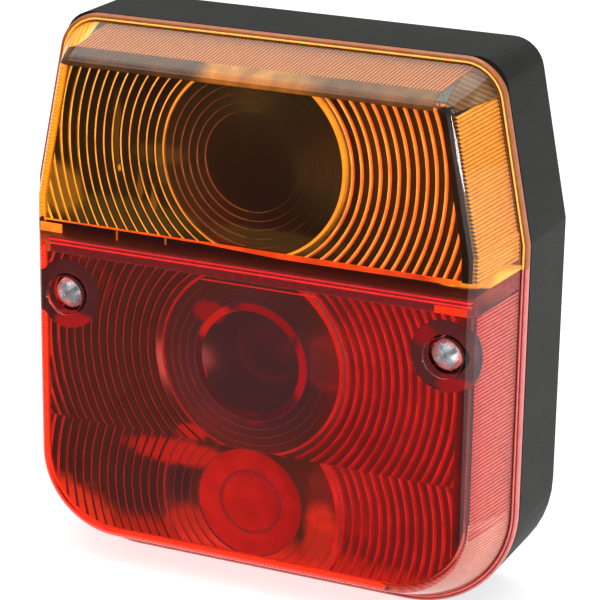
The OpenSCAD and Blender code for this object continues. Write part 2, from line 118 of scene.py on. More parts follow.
for name, place, wide, high, power in (
        ("overhead_box", (-0.1, 0.1, 1.4), 2.2, 2.2, 32),
        ("front_box", (-0.65, -1.1, 0.95), 0.9, 0.7, 3),
        ("right_strip", (1.1, -0.35, 0.55), 0.6, 0.6, 4),
        ("edge_box", (0.8, -0.59, -0.015), 0.45, 0.09, 2.4)):
    bpy.ops.object.light_add(type="AREA", location=place)
    lamp = bpy.context.object
    lamp.name = name
    lamp.data.shape = "RECTANGLE"
    lamp.data.size = wide
    lamp.data.size_y = high
    lamp.data.energy = power
    lamp.rotation_euler = Vector(place).to_track_quat("Z", "Y").to_euler()
world = bpy.data.worlds.new("studio")
bpy.context.scene.world = world
world.use_nodes = True
world.node_tree.nodes["Background"].inputs["Color"].default_value = (1, 1, 1, 1)
world.node_tree.nodes["Background"].inputs["Strength"].default_value = 0.4

# Housing: box-shaped base moulded in charcoal plastic, open at the front, with the wall between the two
# chambers, the screw posts and the seal's seat in one piece. Its faces carry a fine satin grain.
group = bpy.data.node_groups.new("moulding_grain", "ShaderNodeTree")
for name, kind, value in (("Colour", "NodeSocketColor", (0.05, 0.05, 0.05, 1)),
                          ("Grain size", "NodeSocketFloat", 2500), ("Roughness", "NodeSocketFloat", 0.5)):
    socket = group.interface.new_socket(name=name, in_out="INPUT", socket_type=kind)
    socket.default_value = value
for name, kind in (("Colour", "NodeSocketColor"), ("Roughness", "NodeSocketFloat"),
                   ("Height", "NodeSocketFloat")):
    group.interface.new_socket(name=name, in_out="OUTPUT", socket_type=kind)
inlet = plain_node(group, "NodeGroupInput")
outlet = plain_node(group, "NodeGroupOutput")
where = plain_node(group, "ShaderNodeTexCoord")
grain = plain_node(group, "ShaderNodeTexNoise", Detail=3, Roughness=0.6)
cloud = plain_node(group, "ShaderNodeTexNoise", Scale=60, Detail=4)
dirt = plain_node(group, "ShaderNodeMapRange", From_Min=0.35, From_Max=0.7, To_Min=0.85, To_Max=1.2)
tone = plain_node(group, "ShaderNodeVectorMath", operation="SCALE")
fine = plain_node(group, "ShaderNodeMapRange", From_Min=0.3, From_Max=0.7, To_Min=-0.06, To_Max=0.06)
total = plain_node(group, "ShaderNodeMath", operation="ADD")
link = group.links.new
link(where.outputs["Object"], grain.inputs["Vector"])
link(where.outputs["Object"], cloud.inputs["Vector"])
link(inlet.outputs["Grain size"], grain.inputs["Scale"])
link(cloud.outputs["Fac"], dirt.inputs["Value"])
link(inlet.outputs["Colour"], tone.inputs[0])
link(dirt.outputs["Result"], tone.inputs["Scale"])
link(tone.outputs["Vector"], outlet.inputs["Colour"])
link(grain.outputs["Fac"], fine.inputs["Value"])
link(fine.outputs["Result"], total.inputs[0])
link(inlet.outputs["Roughness"], total.inputs[1])
link(total.outputs["Value"], outlet.inputs["Roughness"])
link(grain.outputs["Fac"], outlet.inputs["Height"])
moulding_grain = group


def grained(name, colour, roughness, grain_size, depth, metallic=0.0, specular=0.5):
    """Opaque material whose colour, roughness and bump come from the shared moulding grain"""
    material = bpy.data.materials.new(name)
    material.use_nodes = True
    tree = material.node_tree
    shader = tree.nodes["Principled BSDF"]
    shader.inputs["Metallic"].default_value = metallic
    shader.inputs["Specular IOR Level"].default_value = specular
    grain = tree.nodes.new("ShaderNodeGroup")
    grain.node_tree = moulding_grain
    grain.inputs["Colour"].default_value = colour
    grain.inputs["Grain size"].default_value = grain_size
    grain.inputs["Roughness"].default_value = roughness
    bump = tree.nodes.new("ShaderNodeBump")
    bump.inputs["Strength"].default_value = 0.4
    bump.inputs["Distance"].default_value = depth
    tree.links.new(grain.outputs["Colour"], shader.inputs["Base Color"])
    tree.links.new(grain.outputs["Roughness"], shader.inputs["Roughness"])
    tree.links.new(grain.outputs["Height"], bump.inputs["Height"])
    tree.links.new(bump.outputs["Normal"], shader.inputs["Normal"])
    return material


def finish_node(node, material):
    """Gives a CAD node's object a material in place of its plain one"""
    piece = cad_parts[node]
    for slot in piece.material_slots:
        slot.material = material
    if not piece.material_slots:
        piece.data.materials.append(material)


charcoal = grained("charcoal_moulding", (0.013, 0.014, 0.012, 1), 0.58, 2600, 0.00005, 0.0, 0.15)
finish_node("housing", charcoal)

# Lens seal: dull black rubber strip that lies in the housing's groove and fills the gap under the lens.
finish_node("lens_seal", grained("seal_rubber", (0.018, 0.018, 0.018, 1), 0.8, 1500, 0.00003))


# Amber lens: the upper part of the two-colour lens, moulded in clear amber plastic, smooth outside, with
# rings in front of the indicator bulb and fine prism ridges on the inner faces of its walls. It is welded to
# the red part along the seam. The light and shade on its rings, rim, seam, prisms and top edge are painted:
# those faces, and the sheets and strips set in the plastic, glow with painted light, and their dark parts
# are painted shade.
lamp_h = 0.104
half_w = 0.049
low_edge = 0.0615
lean_h = 0.0717
lean = 0.0064 / (lamp_h - lean_h)
lean_len = sqrt(1 + lean * lean)
bottom_r = 0.021
top_r = 0.008


def lamp_outline(name, inset, y):
    """Upright sheet at depth y in the lamp's outline, drawn in by inset, facing -Y. The sides lean in above
    lean_h, and low_edge is how far the lamp's lower edge lies below the frame's origin"""
    kink = lean_h - inset * (lean_len - 1) / lean
    top = lamp_h - inset
    half_top = half_w - lean * (top - lean_h) - inset * lean_len
    deselect()
    bpy.ops.mesh.primitive_plane_add(size=1, location=(0, 0, 0), rotation=(pi / 2, 0, 0))
    sheet = bpy.context.object
    sheet.name = name
    bpy.ops.object.transform_apply(location=True, rotation=True, scale=True)
    for vert in sheet.data.vertices:
        high = vert.co.z > 0
        vert.co.x = (half_top if high else half_w - inset) * (1 if vert.co.x > 0 else -1)
        vert.co.z = (top if high else inset) - low_edge
        vert.co.y = y
    bpy.ops.object.mode_set(mode="EDIT")
    bpy.ops.mesh.select_all(action="SELECT")
    bpy.ops.mesh.bisect(plane_co=(0, 0, kink - low_edge), plane_no=(0, 0, 1))
    bpy.ops.object.mode_set(mode="OBJECT")
    for vert in sheet.data.vertices:
        if abs(vert.co.z - kink + low_edge) < 1e-5:
            vert.co.x = (half_w - inset) * (1 if vert.co.x > 0 else -1)
    for is_top, radius, steps in ((False, bottom_r, 20), (True, top_r, 12)):
        slide = radius - inset
        if is_top:
            slide = slide / tan((pi / 2 + atan(lean)) / 2)
        pick(sheet, "VERT", lambda v: (v.co.z > 0.03) if is_top else (v.co.z < -0.05 and not v.hide))
        bpy.ops.mesh.bevel(offset=slide, offset_type="OFFSET", segments=steps, affect="VERTICES")
        bpy.ops.object.mode_set(mode="OBJECT")
    return sheet


def pick(piece, kind, test):
    """Goes into edit mode with only those vertices, edges or faces selected that pass the test"""
    deselect()
    piece.select_set(True)
    bpy.context.view_layer.objects.active = piece
    bpy.ops.object.mode_set(mode="EDIT")
    bpy.ops.mesh.select_mode(type=kind)
    bpy.ops.mesh.select_all(action="DESELECT")
    work = bmesh.from_edit_mesh(piece.data)
    parts = {"VERT": work.verts, "EDGE": work.edges, "FACE": work.faces}[kind]
    for part in parts:
        if test(part):
            part.select_set(True)
    work.select_flush_mode()
    bmesh.update_edit_mesh(piece.data)


def step_in(piece, path):
    """Carries the sheet's front face through insets and depths; the wall that each leaves has that finish"""
    deselect()
    piece.select_set(True)
    bpy.context.view_layer.objects.active = piece
    bpy.ops.object.mode_set(mode="EDIT")
    bpy.ops.mesh.select_mode(type="FACE")
    bpy.ops.mesh.select_all(action="SELECT")
    inset, y = path[0][:2]
    for number, (next_inset, next_y, kind) in enumerate(path[1:]):
        piece.active_material_index = kind
        bpy.ops.object.material_slot_assign()
        if number == 0 or abs(next_inset - inset) < 1e-7:
            bpy.ops.mesh.extrude_region_move(TRANSFORM_OT_translate={"value": (0, next_y - y, 0)})
        else:
            bpy.ops.mesh.inset(thickness=next_inset - inset, depth=y - next_y, use_even_offset=True)
        inset, y = next_inset, next_y
    piece.active_material_index = 0
    bpy.ops.object.material_slot_assign()
    bpy.ops.object.mode_set(mode="OBJECT")


def cut_off(piece, place, normal, keep_above):
    """Cuts a closed body at a plane, fills the cut and keeps one side"""
    deselect()
    piece.select_set(True)
    bpy.context.view_layer.objects.active = piece
    bpy.ops.object.mode_set(mode="EDIT")
    bpy.ops.mesh.select_mode(type="VERT")
    bpy.ops.mesh.select_all(action="SELECT")
    bpy.ops.mesh.bisect(plane_co=place, plane_no=normal, use_fill=True, threshold=1e-6,
                        clear_inner=keep_above, clear_outer=not keep_above)
    bpy.ops.object.mode_set(mode="OBJECT")


def combine(piece, tool, how):
    """Joins, cuts or trims a body with another one, which is used up"""
    boolean = piece.modifiers.new("cut", "BOOLEAN")
    boolean.operation = how
    boolean.solver = "EXACT"
    boolean.object = tool
    deselect()
    piece.select_set(True)
    bpy.context.view_layer.objects.active = piece
    bpy.ops.object.modifier_apply(modifier=boolean.name)
    bpy.data.objects.remove(tool)


def clean_up(piece):
    """Merges doubles, drops loose edges, turns the faces outwards and shades curved faces smooth"""
    deselect()
    piece.select_set(True)
    bpy.context.view_layer.objects.active = piece
    bpy.ops.object.mode_set(mode="EDIT")
    bpy.ops.mesh.select_all(action="SELECT")
    bpy.ops.mesh.remove_doubles(threshold=1e-6)
    bpy.ops.mesh.delete_loose()
    bpy.ops.mesh.select_all(action="SELECT")
    bpy.ops.mesh.normals_make_consistent(inside=False)
    bpy.ops.object.mode_set(mode="OBJECT")
    bpy.ops.object.shade_smooth_by_angle(angle=radians(30))


rim_y = -0.0185
front_y = -0.0305
wall_slope = 0.0055 / 0.012


def wall_inset(y):
    """How far the walls' outer face is drawn in at depth y"""
    return 0.0005 + (rim_y - y) * wall_slope


def lens_body(name, finish):
    """Closed outer shape of the whole lens: rim with groove and bead, sloping walls, rounded front edge"""
    body = lamp_outline(name, 0, rim_y)
    give(body, finish)
    path = [(0, rim_y, 8), (0, -0.0194, 8), (0.00012, -0.01962, 8), (0.00032, -0.0197, 8),
            (0.00046, -0.01964, 8), (0.00052, -0.0194, 10), (0.00064, -0.0194, 10), (0.0007, -0.01968, 10),
            (0.00084, -0.01982, 9), (0.00098, -0.01976, 9), (0.00108, -0.0196, 9), (0.00125, -0.01995, 4)]
    slant = atan(wall_slope)
    edge_r = 0.002
    middle_y = front_y + edge_r
    middle = wall_inset(middle_y) + edge_r / cos(slant)
    for part in range(9):
        angle = slant + (pi / 2 - slant) * part / 8
        kind = 4 if part < 2 else 0
        path.append((middle - edge_r * cos(angle), middle_y - edge_r * sin(angle), kind))
    step_in(body, path)
    return body


inner_y = -0.0283


def lens_hollow(name, finish):
    """Closed shape of the space inside the lens"""
    inset, back = 0.00213, -0.0165
    hollow = lamp_outline(name, inset, back)
    give(hollow, finish)
    step_in(hollow, [(inset, back, 4), (inset, back - 0.001, 4), (0.00708, inner_y, 4)])
    for face in hollow.data.polygons:
        if face.center.y < inner_y + 0.0001:
            face.material_index = 6
    return hollow


def give(piece, materials):
    """Puts the materials in the piece's slots, in their order"""
    piece.data.materials.clear()
    for material in materials:
        piece.data.materials.append(material)


def dim_rings(path, first, last, pitch):
    """Adds ring steps in mm that show little: each rises slowly and drops at its outside"""
    count = round((last - first) / pitch)
    step = (last - first) / count
    for ring in range(count):
        start = first + ring * step
        path += [(start + step * 0.9, 0.5, 0), (start + step, 0.1, 2)]


def bright_rings(path, first, last, pitch, crest, band):
    """Adds ring steps in mm: each rises over a narrow crest and then a band, and falls back slowly. Crest
    and band take finishes 11 and 1, which glow with painted light
    """
    start = first
    while start < last:
        end = start + pitch
        path += [(end - crest - band, 0.1, 0), (end - band, 0.2, 11), (end, 0.35, 1)]
        start = end


def ring_plate(name, height, path, finish):
    """Round plate with steps on its inner side; each point of the path, in mm, names its face's finish"""
    rim = path[-1][0]
    points = [(out, deep) for out, deep, kind in path] + [(rim, -1.1), (0, -1.1)]
    deselect()
    bpy.ops.mesh.primitive_circle_add(vertices=len(points), radius=0.01)
    plate = bpy.context.object
    plate.name = name
    bpy.ops.object.transform_apply(location=True, rotation=True, scale=True)
    for vert, (out, deep) in zip(plate.data.vertices, points):
        vert.co = (out / 1000, inner_y + deep / 1000, height)
    bpy.ops.object.mode_set(mode="EDIT")
    bpy.ops.mesh.select_all(action="SELECT")
    bpy.ops.mesh.spin(steps=180, angle=2 * pi, center=(0, 0, height), axis=(0, 1, 0))
    bpy.ops.object.mode_set(mode="OBJECT")
    clean_up(plate)
    give(plate, finish)
    for face in plate.data.polygons:
        if face.center.y < inner_y:
            continue
        out = Vector((face.center.x, 0, face.center.z - height)).length * 1000
        kinds = [kind for (end, deep, kind) in path if end > out]
        face.material_index = (kinds[0] if kinds else 0) or 6
    inset, back = 0.0073, -0.0255
    field = lamp_outline("ring_field", inset, back)
    give(field, finish)
    step_in(field, [(inset, back, 0), (inset, back - 0.004, 0)])
    combine(plate, field, "INTERSECT")
    right_end = (0.0402, 0, lean_h - low_edge)
    cut_off(plate, right_end, (1, 0, 0), False)
    cut_off(plate, right_end, (1, 0, 0.198), False)
    return plate


def clear_plastic(name, tint, roughness, lets_in):
    """Clear coloured plastic: light passes it, and some also reaches what lies behind it"""
    material = bpy.data.materials.new(name)
    material.use_nodes = True
    tree = material.node_tree
    shader = tree.nodes["Principled BSDF"]
    shader.inputs["Base Color"].default_value = tint
    shader.inputs["Transmission Weight"].default_value = 1
    shader.inputs["IOR"].default_value = 1.49
    shader.inputs["Roughness"].default_value = roughness
    see_through = plain_node(tree, "ShaderNodeBsdfTransparent",
                             Color=(tint[0] * lets_in, tint[1] * lets_in, tint[2] * lets_in, 1))
    rays = plain_node(tree, "ShaderNodeLightPath")
    choose = plain_node(tree, "ShaderNodeMixShader")
    tree.links.new(rays.outputs["Is Shadow Ray"], choose.inputs["Fac"])
    tree.links.new(shader.outputs["BSDF"], choose.inputs[1])
    tree.links.new(see_through.outputs["BSDF"], choose.inputs[2])
    tree.links.new(choose.outputs["Shader"], tree.nodes["Material Output"].inputs["Surface"])
    return material


def painted_light_plastic(name, tones, glow, roughness=0.3, blotch=900, depth=0.1, pleat_shade=None):
    """Faces of the moulding painted with the light they would gather: they glow in tones at places in mm
    along the width, perhaps with dark pleats of painted shade along a run"""
    material = bpy.data.materials.new(name)
    material.use_nodes = True
    tree = material.node_tree
    shader = tree.nodes["Principled BSDF"]
    shader.inputs["Roughness"].default_value = roughness
    where = plain_node(tree, "ShaderNodeTexCoord")
    parts = plain_node(tree, "ShaderNodeSeparateXYZ")
    first, last = tones[0][0], tones[-1][0]
    span = plain_node(tree, "ShaderNodeMapRange", From_Min=first / 1000, From_Max=last / 1000)
    ramp = plain_node(tree, "ShaderNodeValToRGB")
    ramp.color_ramp.elements[0].color = tones[0][1]
    ramp.color_ramp.elements[1].color = tones[-1][1]
    for x, tone in tones[1:-1]:
        ramp.color_ramp.elements.new((x - first) / (last - first)).color = tone
    patch = plain_node(tree, "ShaderNodeTexNoise", Scale=blotch, Detail=2)
    level = plain_node(tree, "ShaderNodeMapRange", From_Min=0.35, From_Max=0.65,
                       To_Min=1 - depth, To_Max=1 + depth)
    vary = plain_node(tree, "ShaderNodeVectorMath", operation="SCALE")
    tree.links.new(where.outputs["Object"], parts.inputs["Vector"])
    tree.links.new(where.outputs["Object"], patch.inputs["Vector"])
    tree.links.new(parts.outputs["X"], span.inputs["Value"])
    tree.links.new(span.outputs["Result"], ramp.inputs["Fac"])
    tree.links.new(patch.outputs["Fac"], level.inputs["Value"])
    tree.links.new(ramp.outputs["Color"], vary.inputs[0])
    tree.links.new(level.outputs["Result"], vary.inputs["Scale"])
    colour = vary.outputs["Vector"]
    # Fine dark stripes of painted shade, standing for the shaded side of each ridge
    if pleat_shade:
        dark, run = pleat_shade
        along = plain_node(tree, "ShaderNodeVectorMath", operation="DOT_PRODUCT")
        along.inputs[1].default_value = run
        wave = plain_node(tree, "ShaderNodeMath", operation="PINGPONG")
        wave.inputs[1].default_value = 0.5
        share = plain_node(tree, "ShaderNodeMapRange", From_Min=0.15, From_Max=0.35)
        stripe = plain_node(tree, "ShaderNodeMix", data_type="RGBA")
        stripe.inputs[7].default_value = dark
        tree.links.new(where.outputs["Object"], along.inputs[0])
        tree.links.new(along.outputs["Value"], wave.inputs[0])
        tree.links.new(wave.outputs["Value"], share.inputs["Value"])
        tree.links.new(share.outputs["Result"], stripe.inputs[0])
        tree.links.new(colour, stripe.inputs[6])
        colour = stripe.outputs[2]
    tree.links.new(colour, shader.inputs["Base Color"])
    tree.links.new(colour, shader.inputs["Emission Color"])
    shader.inputs["Emission Strength"].default_value = glow
    return material


def even(tone):
    """The same tone all along the width"""
    return [(-50, tone), (50, tone)]


# Mask for the painted spots of light: a soft spot with a ragged edge about a place
group = bpy.data.node_groups.new("soft_spot", "ShaderNodeTree")
for name in ("Place", "Reach"):
    group.interface.new_socket(name=name, in_out="INPUT", socket_type="NodeSocketVector")
group.interface.new_socket(name="Inside", in_out="OUTPUT", socket_type="NodeSocketFloat")
inlet = plain_node(group, "NodeGroupInput")
outlet = plain_node(group, "NodeGroupOutput")
where = plain_node(group, "ShaderNodeTexCoord")
shift = plain_node(group, "ShaderNodeVectorMath", operation="SUBTRACT")
share = plain_node(group, "ShaderNodeVectorMath", operation="DIVIDE")
far = plain_node(group, "ShaderNodeVectorMath", operation="LENGTH")
ragged = plain_node(group, "ShaderNodeTexNoise", Scale=350, Detail=3)
wobble = plain_node(group, "ShaderNodeMath", operation="MULTIPLY_ADD")
fade = plain_node(group, "ShaderNodeMapRange", From_Min=1.2, From_Max=0.75, interpolation_type="SMOOTHSTEP")
wobble.inputs[1].default_value = 0.4
group.links.new(where.outputs["Object"], shift.inputs[0])
group.links.new(inlet.outputs["Place"], shift.inputs[1])
group.links.new(shift.outputs["Vector"], share.inputs[0])
group.links.new(inlet.outputs["Reach"], share.inputs[1])
group.links.new(share.outputs["Vector"], far.inputs[0])
group.links.new(where.outputs["Object"], ragged.inputs["Vector"])
group.links.new(ragged.outputs["Fac"], wobble.inputs[0])
group.links.new(far.outputs["Value"], wobble.inputs[2])
group.links.new(wobble.outputs["Value"], fade.inputs["Value"])
group.links.new(fade.outputs["Result"], outlet.inputs["Inside"])
soft_spot = group


def light_spots(material, strength, spots):
    """Painted soft spots of light in clear plastic, glowing as emission, each over the ones before: colour,
    place and reach in mm
    """
    tree = material.node_tree
    shader = tree.nodes["Principled BSDF"]
    shader.inputs["Emission Strength"].default_value = strength
    colour = plain_node(tree, "ShaderNodeRGB").outputs["Color"]
    colour.default_value = (0, 0, 0, 1)
    for tone, x, height, wide, high in spots:
        spot = plain_node(tree, "ShaderNodeGroup")
        spot.node_tree = soft_spot
        spot.inputs["Place"].default_value = (x / 1000, 0, height / 1000 - low_edge)
        spot.inputs["Reach"].default_value = (wide / 1000, 1000, high / 1000)
        cover = plain_node(tree, "ShaderNodeMix", data_type="RGBA")
        cover.inputs[7].default_value = tone
        tree.links.new(spot.outputs["Inside"], cover.inputs[0])
        tree.links.new(colour, cover.inputs[6])
        colour = cover.outputs[2]
    tree.links.new(colour, shader.inputs["Emission Color"])
    return material


prism_pitch = 0.00071
prism_back = -0.0186
prism_front = -0.0277


def prism_sheet(name, corner, along, slant, count, height, out, trims, finish):
    """Row of fine prism ridges in a wall: one ridge is made, repeated, trimmed and thickened"""
    along, slant, out = Vector(along).normalized(), Vector(slant), Vector(out).normalized()
    deselect()
    bpy.ops.mesh.primitive_plane_add(size=1)
    sheet = bpy.context.object
    sheet.name = name
    bpy.ops.object.mode_set(mode="EDIT")
    bpy.ops.mesh.select_all(action="SELECT")
    bpy.ops.mesh.bisect(plane_co=(0, 0, 0), plane_no=(1, 0, 0))
    bpy.ops.object.mode_set(mode="OBJECT")
    for vert in sheet.data.vertices:
        side, end = vert.co.x, vert.co.y + 0.5
        crest = 0 if abs(side) > 0.1 else 1
        vert.co = Vector(corner) + along * prism_pitch * (side + 0.5) + slant * end + out * height * crest
    give(sheet, finish)
    # The ridge's two faces take the first and second finish given; where these differ, the second is a
    # darker copy that paints shade on one side of each ridge
    for number, face in enumerate(sheet.data.polygons):
        face.material_index = number
    row = sheet.modifiers.new("row", "ARRAY")
    row.use_relative_offset = False
    row.use_constant_offset = True
    row.constant_offset_displace = along * prism_pitch
    row.count = count
    row.use_merge_vertices = True
    row.merge_threshold = 1e-6
    bpy.ops.object.modifier_apply(modifier=row.name)
    bpy.ops.object.mode_set(mode="EDIT")
    bpy.ops.mesh.select_mode(type="VERT")
    for place, normal in trims:
        bpy.ops.mesh.select_all(action="SELECT")
        bpy.ops.mesh.bisect(plane_co=place, plane_no=normal, clear_outer=True)
    bpy.ops.mesh.select_all(action="SELECT")
    if sheet.data.polygons[0].normal.dot(out) < 0:
        bpy.ops.mesh.flip_normals()
    bpy.ops.object.mode_set(mode="OBJECT")
    wall = sheet.modifiers.new("wall", "SOLIDIFY")
    wall.thickness = 0.00012
    wall.offset = -1
    bpy.ops.object.modifier_apply(modifier=wall.name)
    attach(sheet, "root")


def side_prisms(name, side, low, high, leaning, deep, ridge, trims, finish):
    """Ridges in one side wall between two heights, deep below its outer face, which may lean in"""
    tilt = lean if leaning else 0
    stretch = sqrt(1 + tilt * tilt)
    climb = 0.00228
    x_front = half_w - tilt * (low - lean_h) - stretch * (wall_inset(prism_front) + deep)
    x_back = half_w - tilt * (low + climb - lean_h) - stretch * (wall_inset(prism_back) + deep)
    corner = (side * x_front, prism_front, low - low_edge)
    slant = (side * (x_back - x_front), prism_back - prism_front, climb)
    count = int((high - low) * stretch / prism_pitch)
    prism_sheet(name, corner, (-side * tilt, 0, 1), slant, count, ridge,
                (side * 0.9, -0.41, 0.15 if leaning else 0), trims, finish)


def corner_painted_sheet(name, side, rise, finish):
    """Sheet in the rounded corner between two walls that carries painted glow or painted shade, as its
    finish gives; its pleats are dark stripes of painted shade in that finish
    """
    back, front, deep = -0.0187, -0.0279, 0.0019
    start, end = wall_inset(back) + deep, wall_inset(front) + deep
    least = 0.2 if rise > 0 else 0.01
    liner = lamp_outline(name, start, back)
    give(liner, [finish])
    step_in(liner, [(start, back, 0), (start, back - 0.0001, 0), (end, front, 0)])
    pick(liner, "FACE", lambda face: abs(face.normal.y) > 0.9 or face.normal.x * side < 0.01
         or face.normal.z * rise < least)
    bpy.ops.mesh.delete(type="FACE")
    bpy.ops.object.mode_set(mode="OBJECT")
    bpy.ops.object.shade_smooth_by_angle(angle=radians(30))
    wall = liner.modifiers.new("wall", "SOLIDIFY")
    wall.thickness = 0.00012
    wall.offset = -1
    bpy.ops.object.modifier_apply(modifier=wall.name)
    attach(liner, "root")


def painted_strip(name, left, right, start, end, profile, finish):
    """Strip across the lens, inside the plastic, whose finishes paint the glow and shade seen there. Its
    closed profile gives height and depth in mm and the finish of the face that follows. At its ends it keeps
    the start and end shares of its height"""
    deselect()
    bpy.ops.mesh.primitive_circle_add(vertices=len(profile), radius=0.01, fill_type="NGON")
    strip = bpy.context.object
    strip.name = name
    bpy.ops.object.transform_apply(location=True, rotation=True, scale=True)
    for vert, (height, deep, kind) in zip(strip.data.vertices, profile):
        vert.co = (left / 1000, front_y + deep / 1000, height / 1000 - low_edge)
    give(strip, finish)
    bpy.ops.object.mode_set(mode="EDIT")
    bpy.ops.mesh.select_all(action="SELECT")
    length = (right - left) / 1000
    bpy.ops.mesh.extrude_region_move(TRANSFORM_OT_translate={"value": (length, 0, 0)})
    bpy.ops.object.mode_set(mode="OBJECT")
    clean_up(strip)
    following = profile[1:] + profile[:1]
    for face in strip.data.polygons:
        height, deep = (face.center.z + low_edge) * 1000, (face.center.y - front_y) * 1000
        near = [(abs(height - (a[0] + b[0]) / 2) + abs(deep - (a[1] + b[1]) / 2), a[2])
                for a, b in zip(profile, following)]
        if abs(face.normal.x) < 0.5:
            face.material_index = min(near)[1]
    top = max(point[0] for point in profile) / 1000 - low_edge
    for vert in strip.data.vertices:
        vert.co.z = top + (vert.co.z - top) * (start if vert.co.x * 1000 < (left + right) / 2 else end)
    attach(strip, "root")


seam_place = Vector((0, rim_y, 0.0063))
seam_up = Vector((0, -3.8, 12)).normalized()
# Finishes by slot. Apart from the clear plastics, each glows with painted light in tones along the width:
# ring bands and seam face are painted bright at the sides and dark in the middle, the inner steps fade from
# left to right, and crests, main step and rim bead are painted bright lines.
amber_finish = [
    clear_plastic("clear_amber", (1.0, 0.52, 0.1, 1), 0.02, 0.25),
    painted_light_plastic("amber_ring_bands", [
        (-44, (1.0, 0.5, 0.06, 1)), (-38, (0.5, 0.2, 0.02, 1)), (-34, (0.02, 0.004, 0.0, 1)),
        (8, (0.02, 0.004, 0.0, 1)), (14, (0.5, 0.09, 0.02, 1)), (24, (0.75, 0.13, 0.02, 1)),
        (40, (0.75, 0.11, 0.015, 1))], 0.8, 0.3, 260, 0.25),
    painted_light_plastic("amber_inner_steps", [
        (-18, (0.24, 0.08, 0.06, 1)), (-8, (0.18, 0.05, 0.05, 1)), (6, (0.05, 0.02, 0.02, 1)),
        (18, (0.03, 0.012, 0.01, 1))], 0.6),
    painted_light_plastic("amber_main_step", even((0.95, 0.42, 0.07, 1)), 0.85, 0.3, 200, 0.15),
    clear_plastic("clear_amber_wall", (1.0, 0.88, 0.62, 1), 0.02, 0.9),
    painted_light_plastic("amber_seam_face", [
        (-44, (1.0, 0.5, 0.06, 1)), (-38, (1.0, 0.45, 0.05, 1)), (-36, (0.06, 0.02, 0.01, 1)),
        (35.5, (0.05, 0.02, 0.01, 1)), (37, (1.0, 0.45, 0.04, 1)), (46, (1.0, 0.5, 0.1, 1))],
        0.7, 0.3, 200, 0.3),
    # Inner face: clear plastic with painted spots of light, a golden glow at the left edge, golden glints
    # and dim olive patches
    light_spots(clear_plastic("amber_inner_face", (0.03, 0.008, 0.004, 1), 0.3, 0.2), 0.9, [
        ((0.012, 0.002, 0.002, 1), 0, 82, 60, 16), ((0.05, 0.04, 0.015, 1), -26, 69.5, 20, 4.5),
        ((0.3, 0.14, 0.02, 1), -39, 73, 6, 6), ((0.1, 0.05, 0.015, 1), -27, 85, 1.2, 9),
        ((0.95, 0.55, 0.03, 1), -48, 80, 7.5, 40), ((0.8, 0.45, 0.05, 1), -26.6, 78.4, 0.5, 0.8),
        ((0.16, 0.08, 0.02, 1), -22.3, 76, 0.8, 3.6), ((0.2, 0.1, 0.02, 1), -19.6, 73.6, 0.8, 3.4),
        ((0.06, 0.035, 0.01, 1), -18.5, 82, 6.5, 2.4), ((0.04, 0.03, 0.01, 1), 4, 69, 17, 2.6),
        ((0.014, 0.005, 0.003, 1), 3, 93, 14, 5)]),
    painted_light_plastic("amber_web_face", even((0.05, 0.03, 0.015, 1)), 0.3, 0.4, 200, 0.4),
    painted_light_plastic("amber_rim_lip", even((0.36, 0.11, 0.03, 1)), 0.1),
    painted_light_plastic("amber_rim_bead", even((0.95, 0.45, 0.06, 1)), 0.3),
    painted_light_plastic("amber_rim_groove", even((0.45, 0.17, 0.06, 1)), 0.1),
    painted_light_plastic("amber_ring_crests", [
        (-43, (1.0, 0.6, 0.1, 1)), (-20, (1.0, 0.5, 0.17, 1)), (10, (0.95, 0.5, 0.25, 1)),
        (20, (0.95, 0.42, 0.16, 1)), (40, (0.95, 0.36, 0.12, 1))], 0.85, 0.3, 300, 0.25)]

amber = lens_body("amber_lens_moulding", amber_finish)
cut_off(amber, seam_place, seam_up, True)
space = lens_hollow("amber_space", amber_finish)
path = [(0, 0.1, 0), (7.7, 0.1, 0)]
dim_rings(path, 7.7, 17.5, 1.75)
path.append((18, 0.7, 3))
bright_rings(path, 18, 66, 1.75, 0.3, 0.3)
combine(space, ring_plate("amber_rings", 0.0214, path, amber_finish), "DIFFERENCE")
cut_off(space, seam_place + seam_up * 0.0017, seam_up, True)
combine(amber, space, "DIFFERENCE")
clean_up(amber)
for face in amber.data.polygons:
    if face.normal.dot(seam_up) < -0.995:
        face.material_index = 5
    elif face.normal.dot(seam_up) > 0.995 and face.center.z < 0.02:
        face.material_index = 7
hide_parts("amber_lens")
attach(amber, "root")

over_seam = (seam_place + seam_up * 0.0012, seam_up * -1)
# Side prism sheets: each pair is a glowing copy painted with light and a darker copy painted with shade, for
# the two faces of the ridges
glow = [painted_light_plastic("amber_prism_left", even((0.9, 0.42, 0.04, 1)), 0.75, 0.25),
        painted_light_plastic("amber_prism_left_shade", even((0.75, 0.27, 0.02, 1)), 0.6, 0.25)]
golden = [painted_light_plastic("amber_prism_light_side", even((0.85, 0.4, 0.06, 1)), 0.25, 0.25),
          painted_light_plastic("amber_prism_dark_side", even((0.5, 0.15, 0.015, 1)), 0.1, 0.25)]
for side, label, deep, ridge, tones in (
        (-1, "left", 0.00185, 0.0001, glow), (1, "right", 0.00225, 0.00038, golden)):
    side_prisms("amber_prisms_" + label + "_low", side, 0.06, lean_h, False, deep, ridge, [over_seam],
                tones)
    side_prisms("amber_prisms_" + label + "_high", side, 0.071, 0.096, True, deep, ridge, [],
                tones)
